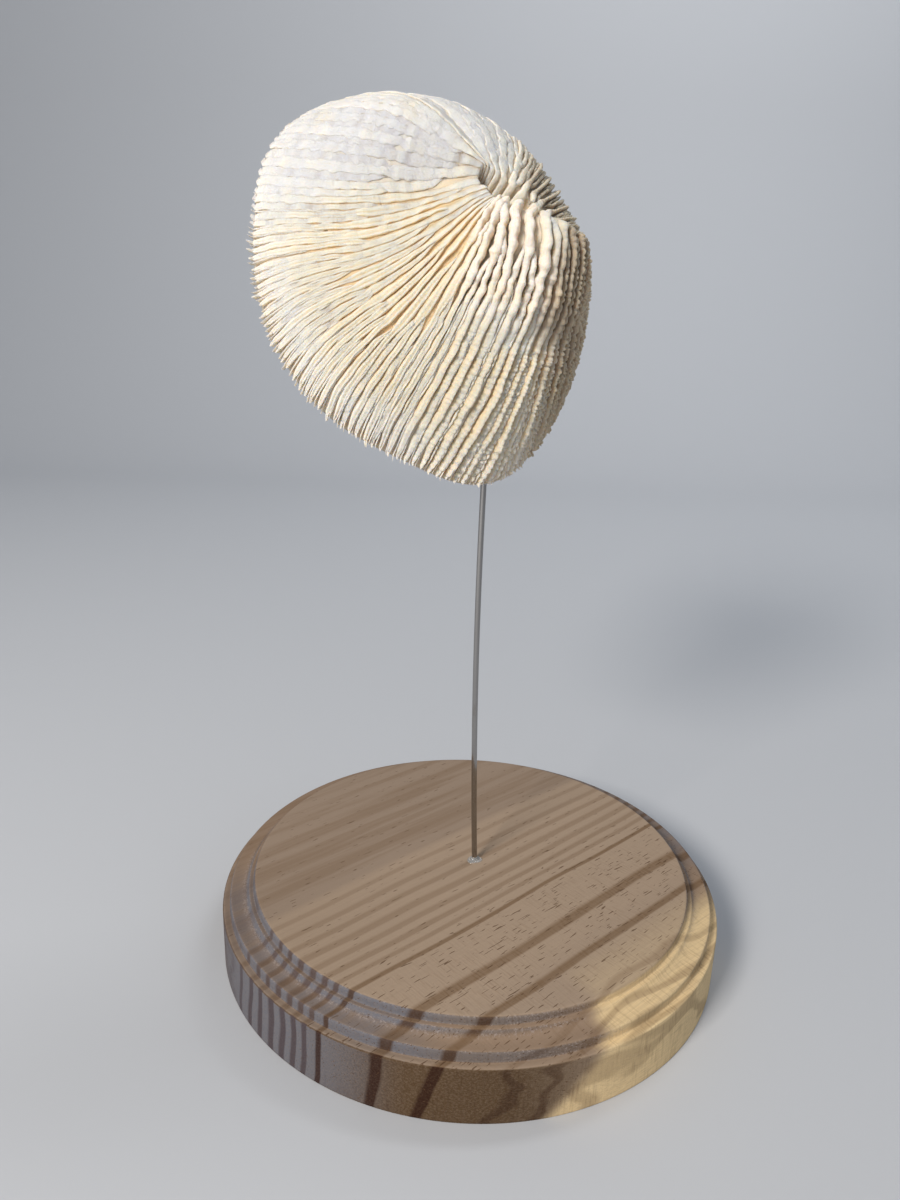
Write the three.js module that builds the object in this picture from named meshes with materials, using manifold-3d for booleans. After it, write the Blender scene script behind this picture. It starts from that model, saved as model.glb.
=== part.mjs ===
// A mushroom coral on a thin steel rod in a round pine base. Millimetres, +Z up, origin at the
// centre of the base's underside, and the coral's grooved face toward -Y.
import * as THREE from 'three';
import { mergeVertices } from 'three/addons/utils/BufferGeometryUtils.js';
import Module from 'manifold-3d';

const { degToRad, lerp, smoothstep } = THREE.MathUtils;

// Round base, turned from one pine board
const BASE_RADIUS = 90;
const BASE_HEIGHT = 28;
const TOP_RADIUS = 78.7;
const RIM_HEIGHT = 19.8;
const UPPER_LEDGE = { inner: 79.1, outer: 80.8, height: 25.3 };
const LOWER_LEDGE = { inner: 85, outer: 87.3, height: 23.4 };
const EDGE_ROUND = 0.6;
const BASE_SIDES = 64;

// Steel rod, bowed by a couple of millimetres
const ROD_RADIUS = 1;
const ROD_FOOT = 8;
const ROD_TIP = 194;
const BOW_HEIGHT = 140;
const BOW_OFFSET = -1.25;
const BOW_RATE = 0.000227;
const FIT_GAP = 0.3;

// Glue round the rod's foot
const GLUE_RADIUS = 2.6;
const GLUE_HEIGHT = 1.2;

// Where the coral's disc stands: its centre, how far its face looks up, and which way it leans
const DISC_CENTRE = new THREE.Vector3(-20.4, 16.8, 225.8);
const DISC_LEAN = degToRad(40);
const DISC_TURN = degToRad(45);

// Coral outline: radius of the margin at every 30 degrees round the disc
const MARGIN_RADII = [58.2, 56.1, 58.2, 60.3, 64.5, 68.2, 66.6, 59.2, 57.1, 57.1, 56.6, 62.9];
const MARGIN_THICKNESS = 3;
const MARGIN_TEETH = 1.3;
const DOME_HEIGHT = 40.2;
const HOLLOW_HEIGHT = 14;

// How the dome falls from the mouth to the margin, at every 30 degrees: 1 is a straight slope
const FALL_POWERS = [2.0, 1.9, 2.2, 2.5, 2.4, 2.0, 1.7, 1.4, 1.3, 1.3, 1.5, 1.8];
const SHOULDER_POWER = 0.85;

// Mouth: a long groove off the disc's centre, and how the ridges leave it and bend
const MOUTH_CENTRE = new THREE.Vector2(5.8, 16.9);
const MOUTH_HALF_LENGTH = 12.2;
const MOUTH_HALF_WIDTH = 0.5;
const MOUTH_ANGLE = degToRad(20);
const MOUTH_DEPTH = 13.7;
const MOUTH_LIP = 2.3;
const MOUTH_FLOOR_HEIGHT = 22;
const ROOT_TURNS = [-12, -18, -12, 5, 15, 10, -6, -27, -52, -74, -78, -40];
const RIDGE_BENDS = [0, 0, 0, 0, 0, 0, 0, 0, 2.1, 5.3, 7.4, 6.3];

// Swellings and hollows of the dome: direction and distance from the mouth, their widths, height
const SWELLINGS = [
  { angle: -30, reach: 0.13, spread: 42, length: 0.24, height: 9.0 },
  { angle: 205, reach: 0.25, spread: 24, length: 0.25, height: -5.3 },
  { angle: 163, reach: 0.62, spread: 24, length: 0.34, height: 6.9 },
  { angle: 153, reach: 0.50, spread: 8, length: 0.35, height: -3.0 },
  { angle: 122, reach: 0.62, spread: 18, length: 0.30, height: 1.5 },
  { angle: 103, reach: 0.40, spread: 14, length: 0.30, height: 1.6 },
];

// Terrace: the thick ridges by the mouth end here in a step
const TERRACE = { angle: -18, spread: 32, height: 3.2, start: 0.4, end: 0.52 };

// Ridges: every second one starts part of the way out
const RIDGES = 80;
const RIDGE_DEPTH = { mouth: 0.9, margin: 2.3 };
const SHORT_RIDGE = { start: 0.28, end: 0.5 };
const RIDGE_UNEVENNESS = 0.7;
const RIB_DEPTH = 0.5;

// Rings of points: on the ridged face from the mouth out, and underneath from the margin in
const FACE_RINGS = [0.05, 0.1, 0.16, 0.23, 0.31, 0.39, 0.45, 0.52, 0.6, 0.68, 0.76, 0.84, 0.91, 0.96, 1];
const UNDER_RINGS = [1, 0.9, 0.74, 0.55, 0.33, 0.14];
const FLOOR_STEPS = 8;

const wasm = await Module();
wasm.setup();

/** A manifold solid from a closed geometry, with shared corners merged. */
function solidFrom(geometry) {
  const bare = geometry.clone();
  bare.deleteAttribute('normal');
  bare.deleteAttribute('uv');
  const merged = mergeVertices(bare);
  return new wasm.Manifold(new wasm.Mesh({
    numProp: 3,
    vertProperties: new Float32Array(merged.attributes.position.array),
    triVerts: new Uint32Array(merged.index.array),
  }));
}

/** The geometry of a manifold solid. */
function geometryFrom(solid) {
  const mesh = solid.getMesh();
  const geometry = new THREE.BufferGeometry();
  geometry.setAttribute('position', new THREE.BufferAttribute(mesh.vertProperties, 3));
  geometry.setIndex(new THREE.BufferAttribute(mesh.triVerts, 1));
  geometry.computeVertexNormals();
  return geometry;
}

/** The first geometry with the second one's volume cut away. */
function cut(geometry, tool) {
  return geometryFrom(solidFrom(geometry).subtract(solidFrom(tool)));
}

/** The rod's centre line between two heights: a shallow parabola in the XZ plane. */
class RodLine extends THREE.Curve {
  constructor(bottom, top) {
    super();
    this.bottom = bottom;
    this.top = top;
  }

  getPoint(t, target = new THREE.Vector3()) {
    const z = lerp(this.bottom, this.top, t);
    return target.set(BOW_OFFSET + BOW_RATE * (z - BOW_HEIGHT) ** 2, 0, z);
  }
}

/** A round bar along the rod's line, used for the rod and for the holes that hold it. */
function bar(radius, bottom, top, steps) {
  const section = new THREE.Shape().absarc(0, 0, radius, 0, 2 * Math.PI);
  return new THREE.ExtrudeGeometry(section, {
    extrudePath: new RodLine(bottom, top),
    steps,
    curveSegments: 6,
    bevelEnabled: false,
  });
}

/** The turned base: a step, a ledge, a cove, a ledge and a deeper step down to the rim. */
function baseGeometry() {
  const profile = new THREE.Path();
  profile.moveTo(0, 0);
  profile.lineTo(BASE_RADIUS - EDGE_ROUND, 0);
  profile.lineTo(BASE_RADIUS, EDGE_ROUND);
  profile.lineTo(BASE_RADIUS, RIM_HEIGHT - EDGE_ROUND);
  profile.lineTo(BASE_RADIUS - EDGE_ROUND, RIM_HEIGHT);
  profile.lineTo(LOWER_LEDGE.outer + EDGE_ROUND, RIM_HEIGHT);
  profile.lineTo(LOWER_LEDGE.outer, LOWER_LEDGE.height - EDGE_ROUND);
  profile.lineTo(LOWER_LEDGE.outer - EDGE_ROUND, LOWER_LEDGE.height);
  profile.lineTo(LOWER_LEDGE.inner, LOWER_LEDGE.height);
  profile.bezierCurveTo(
    lerp(LOWER_LEDGE.inner, UPPER_LEDGE.outer, 0.5), LOWER_LEDGE.height,
    UPPER_LEDGE.outer, lerp(LOWER_LEDGE.height, UPPER_LEDGE.height, 0.4),
    UPPER_LEDGE.outer, UPPER_LEDGE.height,
  );
  profile.lineTo(UPPER_LEDGE.inner, UPPER_LEDGE.height);
  profile.quadraticCurveTo(UPPER_LEDGE.inner, BASE_HEIGHT, TOP_RADIUS - EDGE_ROUND, BASE_HEIGHT);
  profile.lineTo(0, BASE_HEIGHT);
  const turned = new THREE.LatheGeometry(profile.getPoints(4), BASE_SIDES);
  turned.rotateX(Math.PI / 2);
  const hole = bar(ROD_RADIUS + FIT_GAP, ROD_FOOT - FIT_GAP, BASE_HEIGHT + 5, 2);
  return cut(turned, hole);
}

/** A low collar of glue that widens onto the wood. */
function glueGeometry() {
  const inner = ROD_RADIUS + FIT_GAP;
  const profile = new THREE.Path();
  profile.moveTo(inner, 0);
  profile.lineTo(GLUE_RADIUS, 0);
  profile.quadraticCurveTo(inner + 0.3, 0.2 * GLUE_HEIGHT, inner + 0.2, GLUE_HEIGHT);
  profile.lineTo(inner, GLUE_HEIGHT);
  profile.closePath();
  const collar = new THREE.LatheGeometry(profile.getPoints(4), 20);
  collar.rotateX(Math.PI / 2);
  return collar;
}

/** A smooth closed curve through values at equal steps round the disc. */
function around(values, angle) {
  const count = values.length;
  const position = ((angle / (2 * Math.PI)) * count + count) % count;
  const first = Math.floor(position);
  const f = position - first;
  const [p0, p1, p2, p3] = [-1, 0, 1, 2].map((k) => values[(first + k + count) % count]);
  const slope = p2 - p0;
  const bend = 2 * p0 - 5 * p1 + 4 * p2 - p3;
  const twist = -p0 + 3 * p1 - 3 * p2 + p3;
  return 0.5 * (2 * p1 + slope * f + bend * f * f + twist * f * f * f);
}

/** The signed angle from one direction to another, within half a turn. */
function turnBetween(from, to) {
  const turn = to - from;
  return Math.atan2(Math.sin(turn), Math.cos(turn));
}

/** A repeatable number from 0 to 1 for a whole number. */
function chance(index) {
  const value = Math.sin(index * 12.9898 + 4.1) * 43758.5453;
  return value - Math.floor(value);
}

/**
 * A point of the ridged face's outer skin, in the disc's own frame.
 * Each ridge is a line of constant angle: it leaves the rim of the mouth, a narrow ellipse, and
 * runs out to the margin with a sideways bend. Reach is 0 at the mouth and 1 at the margin.
 */
function facePoint(angle, reach, marginShift = 0) {
  const rim = around(MARGIN_RADII, angle) + marginShift;
  const rimPoint = new THREE.Vector2(rim * Math.cos(angle), rim * Math.sin(angle));
  const rootAngle = angle + degToRad(around(ROOT_TURNS, angle));
  const root = new THREE.Vector2(
    MOUTH_HALF_LENGTH * Math.cos(rootAngle),
    MOUTH_HALF_WIDTH * Math.sin(rootAngle),
  ).rotateAround(new THREE.Vector2(), MOUTH_ANGLE).add(MOUTH_CENTRE);
  const run = rimPoint.clone().sub(root);
  const side = new THREE.Vector2(-run.y, run.x).normalize();
  const bend = around(RIDGE_BENDS, angle) * 4 * reach * (1 - reach) * (1 - 0.5 * reach);
  const place = root.clone().addScaledVector(run, reach).addScaledVector(side, -bend);

  let height = DOME_HEIGHT * (1 - Math.min(reach, 1) ** around(FALL_POWERS, angle)) ** SHOULDER_POWER;
  height -= MOUTH_DEPTH * Math.exp(-((reach * run.length() / MOUTH_LIP) ** 2));
  for (const swelling of SWELLINGS) {
    const turn = turnBetween(degToRad(swelling.angle), angle) / degToRad(swelling.spread);
    const along = (reach - swelling.reach) / swelling.length;
    height += swelling.height * Math.exp(-turn * turn - along * along);
  }
  const terraceTurn = turnBetween(degToRad(TERRACE.angle), angle) / degToRad(TERRACE.spread);
  const terrace = 1 - smoothstep(reach, TERRACE.start, TERRACE.end);
  height += TERRACE.height * Math.exp(-(terraceTurn ** 4)) * terrace * smoothstep(reach, 0, 0.1);
  return new THREE.Vector3(place.x, place.y, height);
}

/** The skin's outward direction, from its slopes along and across the ridge. */
function faceNormal(angle, reach) {
  const step = 0.01;
  const inner = facePoint(angle, reach - step);
  const outer = facePoint(angle, reach);
  const left = facePoint(angle - step, reach);
  const right = facePoint(angle + step, reach);
  return outer.sub(inner).cross(right.sub(left)).normalize();
}

/** A point of the face with its ridges: the skin at a crest, sunk below it in a groove. */
function ridgedPoint(sample, reach) {
  const angle = (sample / (2 * RIDGES)) * 2 * Math.PI;
  const isGroove = sample % 2 === 1;
  const isShort = sample % 4 === 2;
  const missing = isShort ? 1 - smoothstep(reach, SHORT_RIDGE.start, SHORT_RIDGE.end) : 0;
  const depth = lerp(RIDGE_DEPTH.mouth, RIDGE_DEPTH.margin, reach) * (1 - 0.35 * smoothstep(reach, 0.9, 1));
  const uneven = RIDGE_UNEVENNESS * chance(sample * 31 + Math.round(reach * 100)) * reach;
  const sink = isGroove ? depth : missing * depth + uneven;
  const teeth = MARGIN_TEETH * smoothstep(reach, 0.85, 1) * (isGroove ? -1 : 1 - chance(sample));
  return facePoint(angle, reach, teeth).addScaledVector(faceNormal(angle, reach), -sink);
}

/** A point of the hollow underside, with low ribs that carry on from the ridges. */
function underPoint(sample, share) {
  const angle = (sample / (2 * RIDGES)) * 2 * Math.PI;
  const isGroove = sample % 2 === 1;
  const rim = around(MARGIN_RADII, angle) - 0.4 - (isGroove ? MARGIN_TEETH : 0);
  const rib = (isGroove ? RIB_DEPTH : 0) * smoothstep(share, 0, 0.5);
  const height = -MARGIN_THICKNESS + HOLLOW_HEIGHT * (1 - share * share) ** 2 + rib;
  return new THREE.Vector3(share * rim * Math.cos(angle), share * rim * Math.sin(angle), height);
}

/** The coral: the ridged face, the toothed margin and the underside as one closed skin. */
function coralGeometry() {
  const samples = 2 * RIDGES;
  const points = [];
  const faces = [];
  const rings = [
    ...FACE_RINGS.map((reach) => (sample) => ridgedPoint(sample, reach)),
    ...UNDER_RINGS.map((share) => (sample) => underPoint(sample, share)),
  ];
  for (const ring of rings) {
    for (let sample = 0; sample < samples; sample += 1) {
      points.push(ring(sample));
    }
  }
  for (let ring = 0; ring + 1 < rings.length; ring += 1) {
    for (let sample = 0; sample < samples; sample += 1) {
      const next = (sample + 1) % samples;
      const inner = ring * samples;
      const outer = inner + samples;
      faces.push(inner + sample, outer + sample, inner + next);
      faces.push(outer + sample, outer + next, inner + next);
    }
  }

  // Floor of the mouth: a row of points along its axis, which both of its walls share
  const floorStart = points.length;
  for (let step = 0; step <= FLOOR_STEPS; step += 1) {
    const along = MOUTH_HALF_LENGTH * (2 * step / FLOOR_STEPS - 1);
    const place = new THREE.Vector2(along, 0).rotateAround(new THREE.Vector2(), MOUTH_ANGLE).add(MOUTH_CENTRE);
    points.push(new THREE.Vector3(place.x, place.y, MOUTH_FLOOR_HEIGHT));
  }
  const floorPoint = (sample) => {
    const angle = (sample / samples) * 2 * Math.PI;
    const rootAngle = angle + degToRad(around(ROOT_TURNS, angle));
    return floorStart + Math.round((Math.cos(rootAngle) + 1) / 2 * FLOOR_STEPS);
  };
  for (let sample = 0; sample < samples; sample += 1) {
    const next = (sample + 1) % samples;
    const here = floorPoint(sample);
    const there = floorPoint(next);
    faces.push(here, sample, next);
    if (here !== there) {
      faces.push(here, next, there);
    }
  }

  // Middle of the underside
  const lastRing = (rings.length - 1) * samples;
  points.push(new THREE.Vector3(0, 0, HOLLOW_HEIGHT - MARGIN_THICKNESS));
  for (let sample = 0; sample < samples; sample += 1) {
    faces.push(lastRing + sample, points.length - 1, lastRing + (sample + 1) % samples);
  }

  const geometry = new THREE.BufferGeometry().setFromPoints(points);
  geometry.setIndex(faces);
  geometry.computeVertexNormals();
  return geometry;
}

/** The disc frame's turn and place: its Z axis is the way the ridged face looks. */
function coralPose() {
  const sideways = new THREE.Vector3(Math.cos(DISC_TURN), 0, Math.sin(DISC_TURN));
  const facing = new THREE.Vector3(0, -Math.cos(DISC_LEAN), 0).addScaledVector(sideways, Math.sin(DISC_LEAN));
  const first = new THREE.Vector3(Math.sin(DISC_TURN), 0, -Math.cos(DISC_TURN));
  const second = facing.clone().cross(first);
  return new THREE.Matrix4().makeBasis(first, second, facing).setPosition(DISC_CENTRE);
}

function namedMesh(name, geometry, material) {
  const mesh = new THREE.Mesh(geometry, new THREE.MeshStandardMaterial(material));
  mesh.name = name;
  return mesh;
}

const stand = new THREE.Group();

stand.add(namedMesh('base', baseGeometry(), { color: '#a98a62', roughness: 0.62, metalness: 0 }));

const rod = bar(ROD_RADIUS, ROD_FOOT, ROD_TIP, 14);
stand.add(namedMesh('rod', rod, { color: '#a9abad', roughness: 0.14, metalness: 1 }));

const glue = namedMesh('glue_bead', glueGeometry(), { color: '#d9d8d0', roughness: 0.12, metalness: 0 });
const rodAtTop = new RodLine(BASE_HEIGHT, BASE_HEIGHT).getPoint(0);
glue.position.set(rodAtTop.x, 0, BASE_HEIGHT + FIT_GAP);
stand.add(glue);

const pose = coralPose();
const drill = bar(ROD_RADIUS + FIT_GAP, ROD_TIP - 60, ROD_TIP + FIT_GAP, 6);
drill.applyMatrix4(pose.clone().invert());
const coral = namedMesh('coral', cut(coralGeometry(), drill), { color: '#e9dfca', roughness: 0.85, metalness: 0 });
coral.applyMatrix4(pose);
stand.add(coral);

export default stand;
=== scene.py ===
import bpy
import numpy as np
from mathutils import Matrix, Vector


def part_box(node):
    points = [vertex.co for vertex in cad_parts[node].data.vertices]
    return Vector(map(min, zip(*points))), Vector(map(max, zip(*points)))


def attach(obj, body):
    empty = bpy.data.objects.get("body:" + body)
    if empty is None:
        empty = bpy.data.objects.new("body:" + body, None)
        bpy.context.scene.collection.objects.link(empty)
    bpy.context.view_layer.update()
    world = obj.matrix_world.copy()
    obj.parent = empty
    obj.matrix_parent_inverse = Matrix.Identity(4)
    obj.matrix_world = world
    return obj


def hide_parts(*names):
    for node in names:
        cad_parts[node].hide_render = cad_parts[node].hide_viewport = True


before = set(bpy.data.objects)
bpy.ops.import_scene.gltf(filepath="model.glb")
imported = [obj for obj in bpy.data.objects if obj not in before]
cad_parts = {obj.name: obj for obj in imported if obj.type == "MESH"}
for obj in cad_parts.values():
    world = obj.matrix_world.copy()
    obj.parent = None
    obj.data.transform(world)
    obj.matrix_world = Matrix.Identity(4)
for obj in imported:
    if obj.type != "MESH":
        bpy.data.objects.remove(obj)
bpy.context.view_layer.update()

# Camera. The viewpoint is about 30 cm in front of the rod and level with the coral, tipped down
# far enough to take in the whole base, and rolled by two degrees. One image is 900 by 1200 pixels.
IMAGE_HEIGHT = 1200
FOCAL_PIXELS = 900
SENSOR_MM = 36
CAMERA_PLACE = (-0.01075, -0.2906, 0.2223)
CAMERA_PITCH = np.radians(17.74)
CAMERA_ROLL = np.radians(1.91)

view_line = np.array([0, np.cos(CAMERA_PITCH), -np.sin(CAMERA_PITCH)])
level_right = np.array([1.0, 0, 0])
level_up = np.cross(level_right, view_line)
camera_right = np.cos(CAMERA_ROLL) * level_right + np.sin(CAMERA_ROLL) * level_up
camera_up = np.cos(CAMERA_ROLL) * level_up - np.sin(CAMERA_ROLL) * level_right
camera_turn = Matrix(np.stack([camera_right, camera_up, -view_line], axis=1).tolist()).to_4x4()
camera_data = bpy.data.cameras.new("camera")
camera_data.sensor_width = SENSOR_MM
camera_data.lens = SENSOR_MM * FOCAL_PIXELS / IMAGE_HEIGHT
camera_data.clip_start = 0.01
camera = bpy.data.objects.new("camera", camera_data)
camera.matrix_world = Matrix.Translation(CAMERA_PLACE) @ camera_turn
bpy.context.scene.collection.objects.link(camera)
bpy.context.scene.camera = camera


# Base. One round pine board, sawn across a few wide growth rings and turned or routed to a step,
# a ledge, a cove, a ledge and a deeper step. It is sanded but not varnished. Sizes in millimetres:
# each ledge is its inner radius, its outer radius and its height.
MM = 0.001
_, base_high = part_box("base")
BASE_RADIUS = base_high[0] / MM
BASE_HEIGHT = base_high[2] / MM
TOP_RADIUS = 78.7
RIM_HEIGHT = 19.8
UPPER_LEDGE = (79.1, 80.8, 25.3)
LOWER_LEDGE = (85.0, 87.3, 23.4)
CORNER_SOFTNESS = 0.35
FLAT_RUN = 6
PROFILE_POINTS = 120
GRAIN_TURN = np.radians(42)


def ring_skin(rings):
    """Closed skin over rings of points: quads from ring to ring, and a fan to a middle point at each
    end. The rings run from the underside outwards, up and back in, each one anticlockwise from above."""
    count, sides, _ = rings.shape
    middles = np.stack([rings[0].mean(axis=0), rings[-1].mean(axis=0)])
    points = np.concatenate([rings.reshape(-1, 3), middles])
    here = np.arange(sides)
    after = np.roll(here, -1)
    start = (np.arange(count - 1) * sides)[:, None]
    quads = [start + here, start + after, start + sides + after, start + sides + here]
    quads = np.stack(quads, axis=-1)
    last = (count - 1) * sides
    first_fan = np.stack([here, np.full(sides, count * sides), after], axis=-1)
    last_fan = np.stack([last + here, last + after, np.full(sides, count * sides + 1)], axis=-1)
    return points, quads.reshape(-1, 4).tolist() + first_fan.tolist() + last_fan.tolist()


def add_piece(name, points, faces, smooth=True):
    """A mesh object at the origin, from points in millimetres."""
    mesh = bpy.data.meshes.new(name)
    mesh.from_pydata((points * MM).tolist(), [], faces)
    mesh.polygons.foreach_set("use_smooth", np.full(len(mesh.polygons), smooth))
    mesh.update()
    piece = bpy.data.objects.new(name, mesh)
    bpy.context.scene.collection.objects.link(piece)
    return piece


def edge_profile():
    """Half section of the base as radius and height: straight runs, a quarter round under the top and a
    cove, sampled closely and then averaged over a short length so that every corner is slightly worn."""
    inner, outer, ledge = UPPER_LEDGE
    low_inner, low_outer, low_ledge = LOWER_LEDGE
    fall = np.linspace(0, np.pi / 2, 9)
    round_over = np.stack([
        TOP_RADIUS + (inner - TOP_RADIUS) * np.sin(fall),
        ledge + (BASE_HEIGHT - ledge) * np.cos(fall),
    ], axis=1)
    cove = np.stack([
        outer + (low_inner - outer) * (1 - np.cos(fall)),
        ledge - (ledge - low_ledge) * np.sin(fall),
    ], axis=1)
    corners = np.concatenate([
        [[BASE_RADIUS - FLAT_RUN, 0], [BASE_RADIUS, 0], [BASE_RADIUS, RIM_HEIGHT]],
        [[low_outer, RIM_HEIGHT], [low_outer, low_ledge]],
        cove[::-1],
        round_over[::-1],
        [[TOP_RADIUS - FLAT_RUN, BASE_HEIGHT]],
    ])
    along = np.concatenate([[0], np.cumsum(np.linalg.norm(np.diff(corners, axis=0), axis=1))])
    even = np.linspace(0, along[-1], PROFILE_POINTS)
    step = even[1] - even[0]
    line = np.stack([np.interp(even, along, corners[:, k]) for k in range(2)], axis=1)
    reach = int(round(3 * CORNER_SOFTNESS / step))
    weights = np.exp(-0.5 * (np.arange(-reach, reach + 1) * step / CORNER_SOFTNESS) ** 2)
    weights /= weights.sum()
    padded = np.pad(line, ((reach, reach), (0, 0)), mode="edge")
    soft = np.stack([np.convolve(padded[:, k], weights, mode="valid") for k in range(2)], axis=1)
    inward = np.linspace(0.02, 0.9, 8)[:, None]
    under = inward * [soft[0, 0], 0]
    over = np.concatenate([inward[::-1] * soft[-1, 0], np.full((8, 1), BASE_HEIGHT)], axis=1)
    return np.concatenate([under, soft, over])


BASE_SIDES = 200
profile = edge_profile()
turn = np.linspace(0, 2 * np.pi, BASE_SIDES, endpoint=False)
base_rings = np.stack([
    profile[:, :1] * np.cos(turn),
    profile[:, :1] * np.sin(turn),
    np.repeat(profile[:, 1:], BASE_SIDES, axis=1),
], axis=-1)
base = add_piece("pine_base", *ring_skin(base_rings))


def node(tree, kind, inputs=None, **settings):
    """One shader node. Inputs go by name or number, and are values or the sockets that feed them."""
    made = tree.nodes.new("ShaderNode" + kind)
    for key, value in settings.items():
        setattr(made, key, value)
    for key, value in (inputs or {}).items():
        if isinstance(value, bpy.types.NodeSocket):
            tree.links.new(value, made.inputs[key])
        else:
            made.inputs[key].default_value = value
    return made


def number(tree, operation, *values):
    """The result of one Math node."""
    return node(tree, "Math", dict(enumerate(values)), operation=operation).outputs[0]


def times(tree, *values):
    """Product of two or more numbers."""
    result = values[0]
    for value in values[1:]:
        result = number(tree, "MULTIPLY", result, value)
    return result


def between(tree, value, start, end, low=0.0, high=1.0):
    """Smooth step: low up to start, high past end."""
    inputs = {"Value": value, "From Min": start, "From Max": end, "To Min": low, "To Max": high}
    return node(tree, "MapRange", inputs, interpolation_type="SMOOTHSTEP").outputs["Result"]


def level(tree, share, low, high):
    """Straight line: low at a share of 0, high at 1."""
    return node(tree, "MapRange", {"Value": share, "To Min": low, "To Max": high}).outputs["Result"]


def blend(tree, share, first, second):
    """One colour mixed into another."""
    return node(tree, "Mix", {0: share, 6: first, 7: second}, data_type="RGBA").outputs[2]


def stretched(tree, vector, scale):
    """The vector with each axis multiplied by its own number."""
    return node(tree, "VectorMath", {0: vector, 1: scale}, operation="MULTIPLY").outputs[0]


def noise(tree, vector, scale, detail=2.0, roughness=0.5):
    """Noise from 0 to 1. The scale is one number, or one for each axis."""
    if isinstance(scale, tuple):
        vector, scale = stretched(tree, vector, scale), 1.0
    inputs = {"Vector": vector, "Scale": scale, "Detail": detail, "Roughness": roughness}
    return node(tree, "TexNoise", inputs).outputs["Fac"]


def finish_of(name, **plain):
    """A new material with its tree and shader, given the values that are the same all over it."""
    material = bpy.data.materials.new(name)
    material.use_nodes = True
    shader = material.node_tree.nodes["Principled BSDF"]
    for key, value in plain.items():
        shader.inputs[key.replace("_", " ")].default_value = value
    return material, material.node_tree, shader


def roughen(tree, shader, height, strength, distance):
    """A fine relief on the finish. The distance is in metres."""
    bump = node(tree, "Bump", {"Height": height, "Strength": strength, "Distance": distance})
    tree.links.new(bump.outputs[0], shader.inputs["Normal"])


def ring_ramp(tree, place, start, end, rings):
    """Darkness of the growth rings between two places. Each ring has a middle, a half width and a
    darkness: it sets in sharply on one side and fades out on the other."""
    share = node(tree, "MapRange", {"Value": place, "From Min": start, "From Max": end}).outputs["Result"]
    ramp = node(tree, "ValToRGB", {"Fac": share})
    stops = [(middle + side * width, darkness * shade)
             for middle, width, darkness in rings
             for side, shade in ((-1, 0), (-0.35, 1), (0.55, 0.9), (0.85, 0))]
    elements = ramp.color_ramp.elements
    elements.remove(elements[1])
    elements[0].position = 0
    elements[0].color = (0, 0, 0, 1)
    for at, shade in stops:
        element = elements.new((at - start) / (end - start))
        element.color = (shade, shade, shade, 1)
    return times(tree, ramp.outputs["Color"], 1.0)


# Growth rings: distance across the grain from the board's middle, half width, darkness
NARROW_RINGS = [
    (-11.5, 1.6, 0.34), (-4.5, 1.8, 0.40), (1.5, 1.7, 0.44), (7.5, 2.0, 0.46),
    (13.0, 1.8, 0.44), (18.0, 1.6, 0.50), (22.5, 1.4, 0.46),
]
WIDE_RINGS = [
    (28.0, 1.3, 0.95), (46.8, 2.5, 0.88), (61.0, 2.0, 0.92),
    (75.5, 1.6, 0.40), (84.0, 1.8, 0.50), (92.0, 1.8, 0.45),
]
FIRST_RING, WIDE_FROM, LAST_RING = -20, 25.5, 100
RING_WANDER = 5.5
RING_SWIRL = 22.0
EDGE_BLUR = 0.3
PINE_LIGHT = (0.355, 0.262, 0.185, 1)
PINE_DULL = (0.290, 0.215, 0.157, 1)
PINE_YELLOW = (0.80, 0.60, 0.33, 1)
PINE_RING = (0.165, 0.098, 0.052, 1)
PINE_RIM = (0.215, 0.137, 0.088, 1)
PINE_END_BROWN = (0.088, 0.052, 0.026, 1)
# Painted reflection: the next two colours stand for cool window and floor light mirrored by the end grain
PINE_SHEEN_GREY = (0.145, 0.153, 0.182, 1)
PINE_SHEEN_LILAC = (0.170, 0.148, 0.140, 1)
PINE_END_RING = (0.032, 0.012, 0.007, 1)
PINE_END_LINE = (0.070, 0.052, 0.056, 1)
PINE_FUZZ = (0.40, 0.34, 0.32, 1)
PINE_PORE = (0.10, 0.055, 0.03, 1)

pine, tree, shader = finish_of("pine", Specular_IOR_Level=0.06)
where = node(tree, "TexCoord").outputs["Object"]
laid = {"Vector": where, "Rotation": (0, 0, -GRAIN_TURN), "Scale": (1 / MM, 1 / MM, 1 / MM)}
board = node(tree, "Mapping", laid).outputs[0]
parts = node(tree, "SeparateXYZ", {0: board}).outputs
along, height = parts["X"], parts["Z"]
across = times(tree, parts["Y"], -1.0)
above_rim = between(tree, height, RIM_HEIGHT - EDGE_BLUR, RIM_HEIGHT + EDGE_BLUR)
at_top = between(tree, height, BASE_HEIGHT - 1.2, BASE_HEIGHT - 0.1)
below_top = between(tree, height, BASE_HEIGHT - 0.9, BASE_HEIGHT - 0.1, 1.0, 0.0)

# Place in the rings: they lean with the depth in the board, wander, and swirl at the front corner
ring_slope = between(tree, across, 30.0, 62.0, 0.05, 0.25)
lean = times(tree, number(tree, "SUBTRACT", BASE_HEIGHT, height), ring_slope)
wander = number(tree, "SUBTRACT", noise(tree, board, (0.011, 0.03, 0.03)), 0.5)
swirl = number(tree, "SUBTRACT", noise(tree, board, (0.022, 0.05, 0.09), 1.0), 0.5)
place = number(tree, "ADD", number(tree, "ADD", across, lean), times(tree, wander, RING_WANDER))
swirl_size = between(tree, across, 62.0, 84.0, 0.0, RING_SWIRL)
place = number(tree, "ADD", place, times(tree, swirl, swirl_size))

# The pale sapwood corner, with a slanted edge down the side. Its colour is the sapwood's own, made brighter
# as painted light that stands for light falling on the right of the base, most on the side
down_slant = times(tree, number(tree, "SUBTRACT", RIM_HEIGHT, height), 0.85)
yellow = between(tree, number(tree, "ADD", along, down_slant), -30.0, -21.0)
yellow = times(tree, between(tree, across, 58.0, 74.0), yellow, level(tree, at_top, 1.0, 0.22))
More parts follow.
